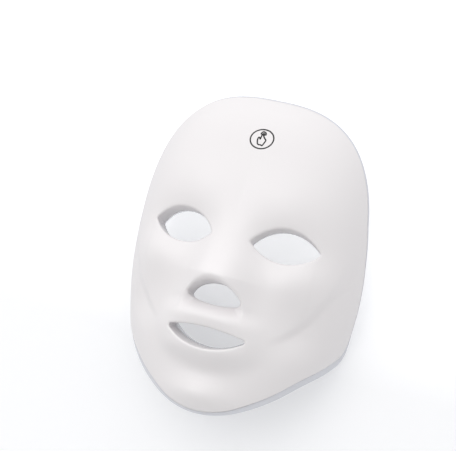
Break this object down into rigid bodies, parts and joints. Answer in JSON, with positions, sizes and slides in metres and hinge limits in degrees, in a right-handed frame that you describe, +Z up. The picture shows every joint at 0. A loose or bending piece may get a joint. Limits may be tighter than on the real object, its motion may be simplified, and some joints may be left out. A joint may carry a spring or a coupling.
{
  "type": "led face mask",
  "caption": "Rigid face-shaped light mask with eye, nose and mouth openings, a clear inner skin over rows of lights, slotted temple lugs and a touch mark on the forehead.",
  "frame": {"origin": "on the middle plane, where the bridge of the wearer's nose rests on its pad", "axes": "+Z up as worn, +X to the wearer's left, the mask looks along -Y and the wearer's face is on the +Y side"},
  "size_m": [0.1548, 0.0824, 0.2037],
  "materials": {
    "white_shell": "satin white moulding",
    "clear_shell": "clear plastic with a faint grey tint",
    "socket_steel": "plain plated steel",
    "screw_steel": "small plated screws",
    "black_plastic": "black moulded",
    "cream_plastic": "cream connector body",
    "circuit_board": "green solder mask",
    "lead_cover": "red and black lead covers",
    "light_sheet": "white flexible board",
    "light_body": "white frame with a pale yellow lens",
    "touch_copper": "plain copper foil",
    "battery_foil": "soft foil pouch",
    "foam": "black closed-cell foam",
    "soft_pad": "soft milky silicone"
  },
  "bodies": {
    "root": {"outer_shell": "white_shell", "inner_shell": "clear_shell", "charging_socket": "socket_steel", "charging_tongue": "black_plastic", "charging_board": "circuit_board", "charging_leads": "lead_cover", "shell_screws": "screw_steel", "forehead_light_board": "light_sheet", "forehead_lights": "light_body", "left_cheek_light_board": "light_sheet", "left_cheek_lights": "light_body", "right_cheek_light_board": "light_sheet", "right_cheek_lights": "light_body", "chin_light_board": "light_sheet", "chin_lights": "light_body", "control_board": "circuit_board", "control_chips": "black_plastic", "light_board_connector": "cream_plastic", "control_board_screws": "screw_steel", "touch_pad": "touch_copper", "touch_spring": "socket_steel", "battery": "battery_foil", "battery_foam_tape": "foam", "battery_plug": "cream_plastic", "battery_leads": "lead_cover", "nose_bridge_pad": "soft_pad", "forehead_pad": "soft_pad", "chin_pad": "soft_pad"}
  },
  "joints": []
}
